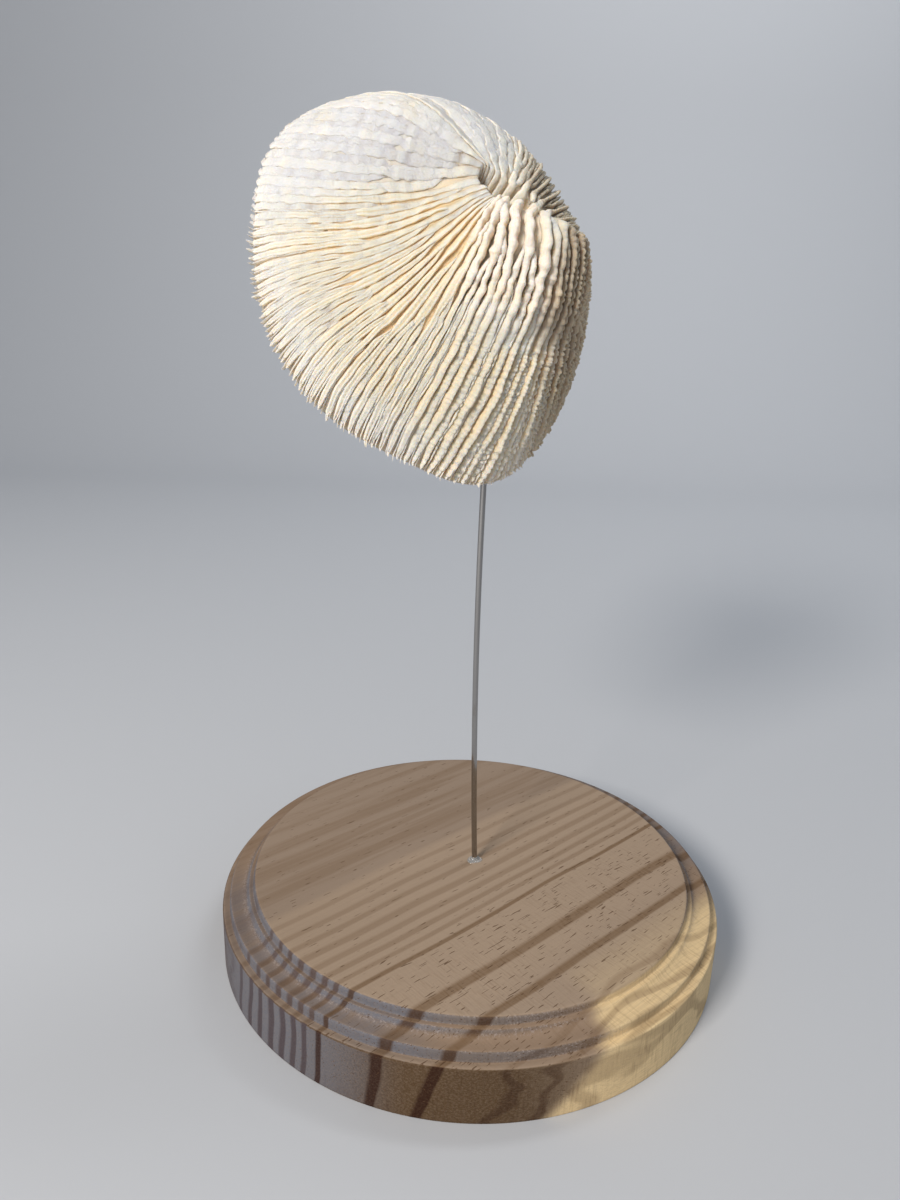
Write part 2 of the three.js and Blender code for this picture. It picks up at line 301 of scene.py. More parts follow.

# Cut across the fibres the board drinks the light: brown at a slant, and greyish where it is square on,
# that greyish tone being a painted reflection of cool light
facing = node(tree, "NewGeometry").outputs["Normal"]
grain_way = (float(np.cos(GRAIN_TURN)), float(np.sin(GRAIN_TURN)), 0.0)
faced = node(tree, "VectorMath", {0: facing, 1: grain_way}, operation="DOT_PRODUCT")
end_grain = number(tree, "ABSOLUTE", faced.outputs["Value"])
level_way = node(tree, "VectorMath", {0: stretched(tree, board, (1, 1, 0))}, operation="NORMALIZE")
end_place = node(tree, "SeparateXYZ", {0: level_way.outputs[0]}).outputs["X"]
end_place = number(tree, "ABSOLUTE", end_place)
end_mould = times(tree, above_rim, below_top, between(tree, end_place, 0.70, 0.92))
end_share = times(tree, between(tree, end_grain, 0.12, 0.60), level(tree, above_rim, 1.0, 0.75))
end_share = number(tree, "MAXIMUM", end_share, times(tree, end_mould, 0.30))
end_share = times(tree, end_share, between(tree, yellow, 0.0, 1.0, 1.0, 0.1))
rim_dull = times(tree, above_rim, level(tree, at_top, 0.55, 0.0))
rim_dull = times(tree, rim_dull, between(tree, yellow, 0.0, 1.0, 1.0, 0.2))

# Rings, fibres, soft streaks, short dark pores, saw marks square to the grain, and raised fuzz
line_gain = number(tree, "ADD", times(tree, end_mould, 0.9), 1.0)
line_gain = number(tree, "MAXIMUM", between(tree, end_grain, 0.1, 0.5, 1.0, 1.9), line_gain)
narrow_dark = times(tree, ring_ramp(tree, place, FIRST_RING, WIDE_FROM, NARROW_RINGS), line_gain)
wide_dark = ring_ramp(tree, place, WIDE_FROM, LAST_RING, WIDE_RINGS)
rings_dark = number(tree, "ADD", narrow_dark, wide_dark)
rings_dark = times(tree, rings_dark, between(tree, end_share, 0.0, 1.0, 1.0, 1.35))
fibres = noise(tree, board, (0.035, 1.9, 1.9), 4.0, 0.65)
streaks = noise(tree, board, (0.008, 0.16, 0.16), 3.0, 0.6)
soft_side = between(tree, place, -19.0, -14.0, 1.0, 0.0)
soft_dark = times(tree, between(tree, streaks, 0.42, 0.66), soft_side, 0.45)
dashes = noise(tree, board, (0.28, 2.3, 2.3), 0.0)
dash_share = between(tree, place, 5.0, 40.0, 0.79, 0.725)
dash = between(tree, number(tree, "SUBTRACT", dashes, dash_share), 0.0, 0.03)
saw = noise(tree, board, (1.5, 0.14, 0.14), 1.0)
saw_patch = between(tree, noise(tree, board, 0.035, 1.0), 0.3, 0.55)
saw_patch = times(tree, between(tree, place, 18.0, 40.0), saw_patch)
saw_dark = times(tree, between(tree, saw, 0.5, 0.72), saw_patch, 0.22)
fuzz = between(tree, noise(tree, board, 1.5, 3.0, 0.7), 0.48, 0.66)

# Colours laid over each other, from the plain board to the pores
tone = blend(tree, soft_side, PINE_LIGHT, PINE_DULL)
tone = blend(tree, between(tree, place, 52.0, 62.0, 0.0, 0.35), tone, PINE_DULL)
# Pale sapwood, brightened as painted light on the right of the base
tone = blend(tree, times(tree, yellow, 0.9), tone, PINE_YELLOW)
tone = blend(tree, rim_dull, tone, PINE_RIM)
tone = blend(tree, end_share, tone, PINE_END_BROWN)
# Painted reflection: end grain that is square on, and streaks on the moulded ends, take a cool greyish or
# lilac tone that stands for mirrored cool light
grey_from = level(tree, above_rim, 0.80, 0.20)
grey_to = level(tree, above_rim, 1.0, 0.60)
grey_share = between(tree, end_grain, grey_from, grey_to)
grey_share = times(tree, grey_share, between(tree, yellow, 0.0, 1.0, 0.85, 0.1))
grey_stain = times(tree, end_mould, between(tree, streaks, 0.35, 0.62, 0.25, 0.55))
sheen_tone = blend(tree, between(tree, end_place, 0.68, 0.85), PINE_SHEEN_LILAC, PINE_SHEEN_GREY)
tone = blend(tree, number(tree, "MAXIMUM", grey_share, grey_stain), tone, sheen_tone)
slanted = number(tree, "ABSOLUTE", number(tree, "SUBTRACT", end_grain, 0.4))
fuzz_share = times(tree, fuzz, above_rim, between(tree, slanted, 0.08, 0.3, 0.5, 0.0))
tone = blend(tree, fuzz_share, tone, PINE_FUZZ)
tone = blend(tree, between(tree, fibres, 0.35, 0.75, 0.0, 0.30), tone, PINE_DULL)
darkness = number(tree, "ADD", number(tree, "ADD", rings_dark, soft_dark), saw_dark)
darkness = number(tree, "MINIMUM", darkness, 1.0)
end_line = blend(tree, between(tree, place, 24.0, 27.0), PINE_END_LINE, PINE_END_RING)
latewood = blend(tree, end_share, PINE_RING, end_line)
tone = blend(tree, times(tree, darkness, between(tree, fibres, 0.2, 0.7, 1.0, 0.78)), tone, latewood)
tone = blend(tree, times(tree, dash, between(tree, yellow, 0.0, 0.6, 0.8, 0.1)), tone, PINE_PORE)
tree.links.new(tone, shader.inputs["Base Color"])
tree.links.new(between(tree, fibres, 0.2, 0.8, 0.66, 0.82), shader.inputs["Roughness"])
relief = number(tree, "ADD", fibres, times(tree, fuzz, end_share))
relief = number(tree, "SUBTRACT", relief, times(tree, dash, 1.5))
relief = number(tree, "ADD", relief, times(tree, saw, saw_patch, 0.8))
roughen(tree, shader, relief, 0.35, 0.0004)
base.data.materials.append(pine)
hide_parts("base")
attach(base, "root")


# Rod. A length of thin polished steel, bowed a little by the coral's weight. Its foot is pushed
# into a blind hole in the base and its tip into a hole drilled up into the coral's lower edge.
rod_low, rod_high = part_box("rod")
ROD_RADIUS = 1.0
ROD_SIDES = 32
BOW_HEIGHT = 140
BOW_OFFSET = -1.25
BOW_RATE = 0.000227
END_PLAY = 0.05
# Steel colours, darker than bare steel: a painted reflection of the dark room in front of the rod. The
# stained one is darker still.
STEEL_CLEAN_DIMMED = (0.36, 0.35, 0.34, 1)
STEEL_STAINED = (0.25, 0.22, 0.19, 1)


def rod_x(height):
    """Sideways place of the rod's centre line: a shallow parabola."""
    return BOW_OFFSET + BOW_RATE * (height - BOW_HEIGHT) ** 2


rod_heights = np.linspace(rod_low[2] / MM + END_PLAY, rod_high[2] / MM - END_PLAY, 70)
around_rod = np.linspace(0, 2 * np.pi, ROD_SIDES, endpoint=False)
rod_rings = np.stack([
    rod_x(rod_heights)[:, None] + ROD_RADIUS * np.cos(around_rod),
    np.broadcast_to(ROD_RADIUS * np.sin(around_rod), (len(rod_heights), ROD_SIDES)),
    np.repeat(rod_heights[:, None], ROD_SIDES, axis=1),
], axis=-1)
rod = add_piece("steel_rod", *ring_skin(rod_rings))

steel, tree, shader = finish_of("polished_steel", Metallic=1.0)
where = node(tree, "TexCoord").outputs["Object"]
drawn = noise(tree, where, (4000, 4000, 60), 3.0)
stain = noise(tree, where, (300, 300, 90), 3.0, 0.6)
stained = blend(tree, between(tree, stain, 0.5, 0.75, 0.0, 0.5), STEEL_CLEAN_DIMMED, STEEL_STAINED)
tree.links.new(stained, shader.inputs["Base Color"])
dulled = between(tree, stain, 0.5, 0.8, 0.0, 0.12)
polish = number(tree, "ADD", between(tree, drawn, 0.3, 0.7, 0.08, 0.16), dulled)
tree.links.new(polish, shader.inputs["Roughness"])
roughen(tree, shader, drawn, 0.08, 0.0001)
rod.data.materials.append(steel)
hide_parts("rod")
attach(rod, "root")


# Glue. A drop of clear glue that ran down round the rod's foot and set on the wood as a low,
# uneven bead with a raised lip: its outline is a circle with two slow waves, and its flank sinks
# outwards on a power curve.
GLUE_RADIUS = 2.6
GLUE_HEIGHT = 1.4
GLUE_INNER = 1.02
GLUE_LIP = 0.22
GLUE_CLEAR = (0.90, 0.91, 0.90, 1)
around_glue = np.linspace(0, 2 * np.pi, 48, endpoint=False)
outline = GLUE_RADIUS * (1 + 0.10 * np.sin(2 * around_glue + 0.6) + 0.07 * np.sin(3 * around_glue + 2.0))
rise = np.linspace(0, 1, 16)[:, None]
spread = (1 - rise) ** 0.55
glue_r = GLUE_INNER + (outline - GLUE_INNER) * (0.25 * spread + 0.75 * (1 - rise) ** 2.2)
lip = GLUE_LIP * np.exp(-((glue_r / outline - 0.86) / 0.1) ** 2)
glue_z = BASE_HEIGHT + GLUE_HEIGHT * rise ** 1.3 + lip
glue_rings = np.stack([
    rod_x(BASE_HEIGHT) + glue_r * np.cos(around_glue),
    glue_r * np.sin(around_glue),
    glue_z,
], axis=-1)
foot_ring = glue_rings[:1] * [1, 1, 0] + [0, 0, BASE_HEIGHT - END_PLAY]
glue = add_piece("glue_drop", *ring_skin(np.concatenate([foot_ring, glue_rings])))

clear_glue, tree, shader = finish_of(
    "clear_glue",
    Base_Color=GLUE_CLEAR,
    Transmission_Weight=0.75,
    IOR=1.46,
)
where = node(tree, "TexCoord").outputs["Object"]
cloud = noise(tree, where, 900.0, 3.0)
tree.links.new(between(tree, cloud, 0.35, 0.75, 0.06, 0.35), shader.inputs["Roughness"])
roughen(tree, shader, cloud, 0.3, 0.0002)
glue.data.materials.append(clear_glue)
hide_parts("glue_bead")
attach(glue, "root")


# Coral body. The limy skeleton of one large polyp: a domed disc, hollow underneath, whose wall
# carries all the blades. It stands on edge, its face looking forward and up to the right.
DISC_CENTRE = np.array([-20.4, 16.8, 225.8])
DISC_LEAN = np.radians(40)
DISC_TURN = np.radians(45)
MARGIN_RADII = np.array([58.2, 56.1, 58.2, 60.3, 64.5, 68.2, 66.6, 59.2, 57.1, 57.1, 56.6, 62.9])
FALL_POWERS = np.array([2.0, 1.9, 2.2, 2.5, 2.4, 2.0, 1.7, 1.4, 1.3, 1.3, 1.5, 1.8])
ROOT_TURNS = np.array([-12, -18, -12, 5, 15, 10, -6, -27, -52, -74, -78, -40.0])
BLADE_BENDS = np.array([0, 0, 0, 0, 0, 0, 0, 0, 2.1, 5.3, 7.4, 6.3])
SHOULDER_POWER = 0.85
DOME_HEIGHT = 40.2
HOLLOW_HEIGHT = 14.0
WALL_THICKNESS = 2.2
MOUTH_CENTRE = np.array([5.8, 16.9])
MOUTH_HALF_LENGTH = 12.2
MOUTH_HALF_WIDTH = 0.5
MOUTH_ANGLE = np.radians(20)
MOUTH_DEPTH = 13.7
MOUTH_LIP = 1.7
MOUTH_HOOK = np.array([-7.0, 3.5])
FRAME_STEP = 0.004
WALL_END = 0.985
# Direction, distance from the mouth, spread in degrees, length and height of each swelling
SWELLINGS = [
    (-30, 0.13, 42, 0.24, 9.0),
    (205, 0.25, 24, 0.25, -5.3),
    (163, 0.62, 24, 0.34, 6.9),
    (153, 0.50, 8, 0.35, -3.0),
    (122, 0.62, 18, 0.30, 1.5),
    (103, 0.40, 14, 0.30, 1.6),
]
TERRACE_START, TERRACE_END, TERRACE_HEIGHT = 0.40, 0.52, 3.2
# Depth of the grooves from the crests to the wall: plain, then what each kind of growth adds
GROOVE_MOUTH, GROOVE_FAN, GROOVE_MARGIN = 0.42, 0.35, 0.10
GROOVE_ADDED = {"fan_edge": 0.50, "hump": 1.7, "slope": 1.1, "posts": 1.0}
GROOVE_BANK, GROOVE_FLANK = 1.8, 1.1

sideways = np.array([np.cos(DISC_TURN), 0, np.sin(DISC_TURN)])
disc_facing = np.cos(DISC_LEAN) * np.array([0, -1.0, 0]) + np.sin(DISC_LEAN) * sideways
disc_first = np.array([np.sin(DISC_TURN), 0, -np.cos(DISC_TURN)])
disc_second = np.cross(disc_facing, disc_first)


def around(values, angle):
    """Smooth closed curve through values at equal steps round the disc: a cubic between each two,
    whose slope at each value is that of the line through the values on either side."""
    count = len(values)
    position = (angle / (2 * np.pi) * count) % count
    first = np.floor(position).astype(int)
    f = position - first
    p0, p1, p2, p3 = (values[(first + k) % count] for k in (-1, 0, 1, 2))
    square = (2 * p0 - 5 * p1 + 4 * p2 - p3) * f ** 2
    cube = (3 * p1 - p0 - 3 * p2 + p3) * f ** 3
    return 0.5 * (2 * p1 + (p2 - p0) * f + square + cube)


def step_up(value, start, end):
    """Smooth step from 0 at start to 1 at end."""
    share = np.clip((value - start) / (end - start), 0, 1)
    return share * share * (3 - 2 * share)


def towards(angle, degrees, spread, power=2):
    """Bell of height 1 round one direction of the disc, flat-topped for a higher power."""
    turn = (angle - np.radians(degrees) + np.pi) % (2 * np.pi) - np.pi
    return np.exp(-np.abs(turn / np.radians(spread)) ** power)


def face_point(angle, reach):
    """Outer skin of the ridged face in the disc's frame, for arrays of angle and reach.
    A line of constant angle leaves the mouth's narrow elliptical rim, hooked at its left end, and runs
    to the margin with a sideways bend; reach is 0 at the mouth and 1 at the margin. Height is the
    dome's fall from the mouth, less the mouth's groove, plus the swellings and the terrace."""
    rim = around(MARGIN_RADII, angle)
    rim_point = np.stack([rim * np.cos(angle), rim * np.sin(angle)], axis=-1)
    root_angle = angle + np.radians(around(ROOT_TURNS, angle))
    mouth_along = np.array([np.cos(MOUTH_ANGLE), np.sin(MOUTH_ANGLE)])
    mouth_across = np.array([-np.sin(MOUTH_ANGLE), np.cos(MOUTH_ANGLE)])
    root = (MOUTH_CENTRE + MOUTH_HALF_LENGTH * np.cos(root_angle)[..., None] * mouth_along
            + MOUTH_HALF_WIDTH * np.sin(root_angle)[..., None] * mouth_across)
    root = root + MOUTH_HOOK * towards(angle, 180, 60)[..., None]
    run = rim_point - root
    length = np.linalg.norm(run, axis=-1)
    side = np.stack([-run[..., 1], run[..., 0]], axis=-1) / length[..., None]
    bend = around(BLADE_BENDS, angle) * 4 * reach * (1 - reach) * (1 - 0.5 * reach)
    place = root + run * reach[..., None] - side * bend[..., None]
    height = DOME_HEIGHT * (1 - np.clip(reach, 0, 1) ** around(FALL_POWERS, angle)) ** SHOULDER_POWER
    height -= MOUTH_DEPTH * np.exp(-(reach * length / MOUTH_LIP) ** 2)
    for degrees, middle, spread, extent, lift in SWELLINGS:
        height += lift * towards(angle, degrees, spread) * np.exp(-((reach - middle) / extent) ** 2)
    terrace = towards(angle, -18, 32, 4) * (1 - step_up(reach, TERRACE_START, TERRACE_END))
    height += TERRACE_HEIGHT * terrace * step_up(reach, 0, 0.1)
    return np.concatenate([place, height[..., None]], axis=-1)


def face_frame(angle, reach):
    """Skin point with its outward direction, from the slopes along and across the blades."""
    step = FRAME_STEP
    outward = face_point(angle, reach + step) - face_point(angle, reach - step)
    onward = face_point(angle + step, reach) - face_point(angle - step, reach)
    normal = np.cross(outward, onward)
    normal /= np.linalg.norm(normal, axis=-1, keepdims=True)
    return face_point(angle, reach), normal


def under_point(angle, share):
    """Skin of the hollow underside: flat near the margin and rising as a soft bowl to the middle."""
    rim = around(MARGIN_RADII, angle) - 0.5
    height = -WALL_THICKNESS + HOLLOW_HEIGHT * (1 - share ** 2) ** 2
    return np.stack([share * rim * np.cos(angle), share * rim * np.sin(angle), height], axis=-1)


def stand_up(points):
    """From the disc's frame to the object's."""
    first, second, out = points[..., :1], points[..., 1:2], points[..., 2:]
    return DISC_CENTRE + first * disc_first + second * disc_second + out * disc_facing


def zones(angle, reach):
    """Where each kind of growth is, from 0 to 1: the knobbly hump below the mouth, the toothed slope
    under it, the worn lobe, the smooth strip behind the lobe's fold, the deep grooves on the right of
    the fan, the stout posts behind the mouth, the far bank and the right flank. Each is a bell round
    one direction (degrees, spread, power) times steps along the reach. The hump's bell turns with the
    reach, and the far bank starts nearer to the mouth on the side that faces right."""
    hump_way = -64 + 22 * step_up(reach, 0.08, 0.35)
    near_side = towards(angle, -5, 35, 6)
    bank_start = step_up(reach, 0.09 - 0.07 * near_side, 0.20 - 0.12 * near_side)
    bank_end = 1 - 0.7 * towards(angle, -10, 32, 6) * step_up(reach, 0.35, 0.6)
    fan_edge_end = 1 - 0.5 * step_up(reach, 0.8, 1.0)
    hump_run = (1 - step_up(reach, 0.36, 0.52)) * step_up(reach, 0.0, 0.06)
    return {
        "hump": towards(angle, hump_way, 22, 6) * hump_run,
        "slope": towards(angle, -30, 27, 6) * step_up(reach, 0.44, 0.60),
        "lobe": towards(angle, 187, 22, 6) * step_up(reach, 0.12, 0.30),
        "strip": towards(angle, 143, 22, 6) * step_up(reach, 0.08, 0.22),
        "fan_edge": towards(angle, -76, 22, 4) * step_up(reach, 0.04, 0.25) * fan_edge_end,
        "posts": towards(angle, 98, 30, 6) * (1 - step_up(reach, 0.10, 0.20)),
        "far_bank": towards(angle, 41, 69, 8) * bank_start * bank_end,
        "flank": towards(angle, 7, 25, 4) * step_up(reach, 0.25, 0.45),
    }


def groove_depth(angle, reach):
    """How far the wall lies below the blades' crests: shallow in the fan and on the worn lobe, deep on
    the hump, the toothed slope, the far bank and the flank."""
    zone = zones(angle, reach)
    depth = GROOVE_MOUTH + GROOVE_FAN * step_up(reach, 0.02, 0.35)
    depth = depth + GROOVE_MARGIN * step_up(reach, 0.75, 1.0)
    for name, added in GROOVE_ADDED.items():
        depth = depth + added * zone[name]
    depth = depth + np.maximum(GROOVE_BANK * zone["far_bank"], GROOVE_FLANK * zone["flank"])
    return depth * (1 - 0.5 * np.maximum(zone["lobe"], zone["strip"]))


WALL_SAMPLES = 480
wall_angles = np.linspace(0, 2 * np.pi, WALL_SAMPLES, endpoint=False)
under_shares = np.linspace(0.02, 1.0, 26)
face_reaches = np.concatenate([np.linspace(WALL_END, 0.12, 62), np.linspace(0.105, 0.0, 10)])
angle_grid, share_grid = np.meshgrid(wall_angles, under_shares)
under_rings = under_point(angle_grid, share_grid)
angle_grid, reach_grid = np.meshgrid(wall_angles, face_reaches)
skin, outward = face_frame(angle_grid, reach_grid)
wall_rings = skin - outward * groove_depth(angle_grid, reach_grid)[..., None]
coral_points, coral_faces = ring_skin(np.concatenate([under_rings, wall_rings]))
coral = add_piece("coral_body", stand_up(coral_points), coral_faces)


def set_marks(piece, **marks):
    """Stores named numbers on the mesh's points, for the material to read."""
    for key, values in marks.items():
        layer = piece.data.attributes.new(key, "FLOAT", "POINT")
        layer.data.foreach_set("value", np.ascontiguousarray(values, dtype=np.float32).ravel())


def face_marks(angle, reach):
    """Warmth, painted shade and whiteness of the face by place: ochre in the fan's grooves, warmer
    grooves on the hump and the toothed slope as painted light, a darker greyish brown on the far bank
    and the right flank as painted shade from the hump, white on the worn lobe and at the margin."""
    zone = zones(angle, reach)
    warm = towards(angle, 258, 56, 4) * step_up(reach, 0.02, 0.2) * (1 - 0.7 * step_up(reach, 0.80, 1.0))
    # Painted light: on the hump and the toothed slope the grooves are warmed, which stands for warm light
    # bleeding through the skeleton into their shade
    warm = np.maximum(warm * (1 - 0.4 * zone["hump"]), 0.6 * zone["hump"])
    warm = np.maximum(warm, 0.6 * zone["slope"])
    # Painted shade: the far bank and the right flank, which lie in the hump's shadow, are turned a darker
    # greyish brown
    bank = step_up(zone["far_bank"], 0.10, 0.65) * (0.75 + 0.35 * towards(angle, -5, 30, 4))
    grey = np.clip(np.maximum(np.maximum(bank, zone["flank"]), 0.12 * zone["slope"]), 0, 1)
    white = np.maximum(zone["lobe"], 0.7 * zone["strip"])
    white = np.maximum(white, 0.6 * step_up(reach, 0.80, 1.0))
    white = np.maximum(white, 0.9 * zone["hump"])
    return {"warm": warm, "grey": grey, "white": white}


under_zero = np.zeros_like(under_rings[..., 0])
wall_marks = face_marks(angle_grid, reach_grid)
# The hollow underside takes fixed shares of the marks, some painted shade among them
for key, values in wall_marks.items():
    under_values = under_zero + (0.35 if key == "grey" else 0.1)
    wall_marks[key] = np.concatenate([under_values.ravel(), values.ravel(), [0.35, 0.35]])
crest_mark = np.concatenate([(under_zero + 0.45).ravel(), np.zeros(reach_grid.size), [0.45, 0]])
set_marks(coral, crest=crest_mark, **wall_marks)

# The skeleton's finish: chalky white edges over cream sides, ochre where the grooves are deep
# Some colours are painted light: the greyish brown of the far bank, the right flank and the underside is
# painted shade, and the warmer grooves of the hump and the toothed slope are painted warm light
CORAL_WHITE = (0.80, 0.73, 0.63, 1)
CORAL_CREAM = (0.82, 0.69, 0.53, 1)
CORAL_OCHRE = (0.86, 0.60, 0.33, 1)
# Painted shade, in the grooves
CORAL_SHADE_GREY = (0.36, 0.28, 0.20, 1)
CORAL_PURE = (0.845, 0.76, 0.685, 1)
CORAL_WARM_EDGE = (0.84, 0.71, 0.54, 1)
# Painted shade, on the edges
CORAL_SHADE_GREY_EDGE = (0.355, 0.295, 0.22, 1)
CORAL_STAIN = (0.84, 0.67, 0.47, 1)
CORAL_SHADE = (0.70, 0.64, 0.60, 1)
LIGHT_DEPTHS = (0.004, 0.0027, 0.0016)

skeleton, tree, shader = finish_of(
    "coral_skeleton",
    Specular_IOR_Level=0.12,
    Subsurface_Weight=0.5,
    Subsurface_Radius=LIGHT_DEPTHS,
    Subsurface_Scale=1.0,
)
where = node(tree, "TexCoord").outputs["Object"]
mark = {
    key: node(tree, "Attribute", attribute_name=key).outputs["Fac"]
    for key in ("crest", "warm", "grey", "white")
}
grown = node(tree, "Attribute", attribute_name="grown").outputs["Vector"]
patches = noise(tree, where, 55.0, 3.0, 0.55)
grains = noise(tree, where, 1500.0, 3.0, 0.6)
clouds = noise(tree, where, 95.0, 3.0, 0.6)
streaks = noise(tree, grown, (2.6, 0.22, 1.2), 3.0, 0.6)
pits = node(tree, "TexVoronoi", {"Vector": where, "Scale": 1100.0}).outputs["Distance"]

groove = blend(tree, mark["warm"], CORAL_CREAM, CORAL_OCHRE)
# Painted shade: a darker greyish brown on the far bank, the right flank and the underside
groove = blend(tree, mark["grey"], groove, CORAL_SHADE_GREY)
groove = blend(tree, times(tree, mark["white"], 0.75), groove, CORAL_WHITE)
crest = blend(tree, times(tree, mark["warm"], 0.55), CORAL_WHITE, CORAL_WARM_EDGE)
crest = blend(tree, mark["white"], crest, CORAL_PURE)
crest = blend(tree, times(tree, mark["grey"], 0.9), crest, CORAL_SHADE_GREY_EDGE)
patched = times(tree, number(tree, "SUBTRACT", patches, 0.5), 0.3)
height_mark = number(tree, "ADD", mark["crest"], patched)
tone = blend(tree, between(tree, height_mark, 0.25, 0.9), groove, crest)
tone = blend(tree, between(tree, patches, 0.5, 0.8, 0.0, 0.22), tone, CORAL_CREAM)
tone = blend(tree, between(tree, grains, 0.55, 0.8, 0.0, 0.15), tone, CORAL_OCHRE)
streak_share = between(tree, mark["warm"], 0.0, 1.0, 0.08, 0.45)
tone = blend(tree, times(tree, between(tree, streaks, 0.48, 0.68), streak_share), tone, CORAL_OCHRE)
stain_share = times(tree, between(tree, clouds, 0.5, 0.72, 0.0, 0.6), mark["white"])
tone = blend(tree, stain_share, tone, CORAL_STAIN)
shade_share = times(tree, between(tree, clouds, 0.28, 0.46, 0.2, 0.0), mark["white"])
tone = blend(tree, shade_share, tone, CORAL_SHADE)
tree.links.new(tone, shader.inputs["Base Color"])
tree.links.new(between(tree, grains, 0.3, 0.7, 0.72, 0.9), shader.inputs["Roughness"])
grit = number(tree, "ADD", grains, times(tree, pits, 0.6))
grit = number(tree, "ADD", grit, times(tree, streaks, 0.9))
roughen(tree, shader, grit, 0.6, 0.0003)
coral.data.materials.append(skeleton)
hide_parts("coral")
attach(coral, "root")


# Blades of the face (septa). Upright plates of the same skeleton, grown out of the wall in
# cycles: the oldest reach into the mouth, and the younger start further out between them.
FINEST_BLADES = 128
BLADE_LENGTH = 60.0
BLADE_SPACING = 2 * np.pi / FINEST_BLADES
SECTION_CORNERS = 9
WIDEST_HALF = 1.5
THINNEST_HALF = 0.32
SMALL_TOOTH = 1.2
LARGE_TOOTH = 1.9
# For the oldest, second, young and thin blades: how much lower the crest is, how far off its line a
# blade forks from its neighbour, in spacings, and how long it takes to grow to its width
CREST_DROPS = (0.0, 0.08, 0.18, 0.35)
FORKS = (0, 1.3, 0.75, 0.3)
GROWING = (0.11, 0.11, 0.11, 0.05)
# How far a blade strays sideways between the margin and the mouth, in degrees, at every 20 degrees
# of the disc: parts that grow with the distance from the margin, its square and its cube
STRAY_PLAIN = np.array([-5, 0, 0, -6, -18, -12, -2, 10, 19, 23, 27, 13, -13, -25, -18, 5, 29, 8.0])
STRAY_SQUARE = np.array([9, 0, 0, 1, 9, 14, 1, -21, -23, -13, 13, 77, 130, 143, 114, 68, 15, 27.0])
STRAY_CUBE = np.array([-11, 0, 0, 3, 8, 5, 8, 15, 5, -13, -43, -85, -113, -121, -105, -82, -46, -42.0])
rng = np.random.default_rng(11)


def stray(angle, reach):
    """Direction of a blade at some reach, from its direction at the margin."""
    back = np.minimum(1 - reach, 0.9)
    quicker = around(STRAY_SQUARE, angle) + back * around(STRAY_CUBE, angle)
    degrees = back * (around(STRAY_PLAIN, angle) + back * quicker)
    return angle + np.radians(degrees)


def uneven(count, length, waves, strength):
    """One smooth random line per blade: a few sine waves of random phase along its length."""
    phase = rng.uniform(0, 2 * np.pi, (count, len(waves)))
    gain = rng.uniform(0.5, 1.0, (count, len(waves)))
    swing = np.sin(2 * np.pi * length[..., None] / np.array(waves) + phase[:, None, :])
    return strength * (swing * gain[:, None, :]).sum(axis=-1) / np.sqrt(len(waves))


def teeth(count, length, pitch, sharpness):
    """Row of teeth along each blade, 0 at the tips and 1 in the notches."""
    phase = rng.uniform(0, 1, (count, 1))
    stretch = length * rng.uniform(0.8, 1.25, (count, 1))
    stretch = stretch + uneven(count, length, [pitch * 7.3, pitch * 3.1], pitch * 0.35)
    return 1 - np.abs(np.sin(np.pi * (stretch / pitch + phase))) ** sharpness


def strips(section_rows):
    """Closed strips from points of shape (strips, steps, corners, 3): quads round and along each one,
    and one flat face at each end."""
    count, steps, corners, _ = section_rows.shape
    corner = np.arange(corners)
    after = np.roll(corner, -1)
    row = (np.arange(count)[:, None] * steps + np.arange(steps - 1)).reshape(-1, 1) * corners
    quads = [row + corner, row + after, row + corners + after, row + corners + corner]
    quads = np.stack(quads, axis=-1).reshape(-1, 4)
    first = np.arange(count)[:, None] * steps * corners + corner[::-1]
    last = (np.arange(count)[:, None] * steps + steps - 1) * corners + corner
    return section_rows.reshape(-1, 3), quads.tolist() + first.tolist() + last.tolist()


def sideways_gap(margin_angle, reach):
    """How far off the neighbouring blade's line is, measured on the skin square to the blade's way."""
    skin = face_point(stray(margin_angle, reach), reach)
    travel = np.gradient(skin, axis=1)
    travel /= np.linalg.norm(travel, axis=-1, keepdims=True)
    neighbour = face_point(stray(margin_angle + BLADE_SPACING, reach), reach)
    return np.linalg.norm(np.cross(neighbour - skin, travel), axis=-1)


# A blade of a younger cycle starts where the gap between two older ones has grown to this width,
# and between these reaches: every fourth blade is of the oldest cycle, every second older than young
NEW_BLADE_GAP = 3.5
CYCLE_RANGES = ((4, 0.03, 0.30), (2, 0.12, 0.62))
all_angles = (np.arange(FINEST_BLADES) * BLADE_SPACING)[:, None]
table_reach = np.linspace(0.02, 1, 120)
gap_table = sideways_gap(all_angles, np.repeat(table_reach[None], FINEST_BLADES, axis=0))
gap_needed = NEW_BLADE_GAP * (1 - 0.4 * towards(all_angles, 66, 46, 6))
cycle_starts = []
for skipped, earliest, latest in CYCLE_RANGES:
    start_line = table_reach[np.argmax(skipped * gap_table > gap_needed, axis=1)]
    start_line = np.clip(start_line, earliest, latest)
    cycle_starts.append(np.mean([np.roll(start_line, k) for k in range(-4, 5)], axis=0))

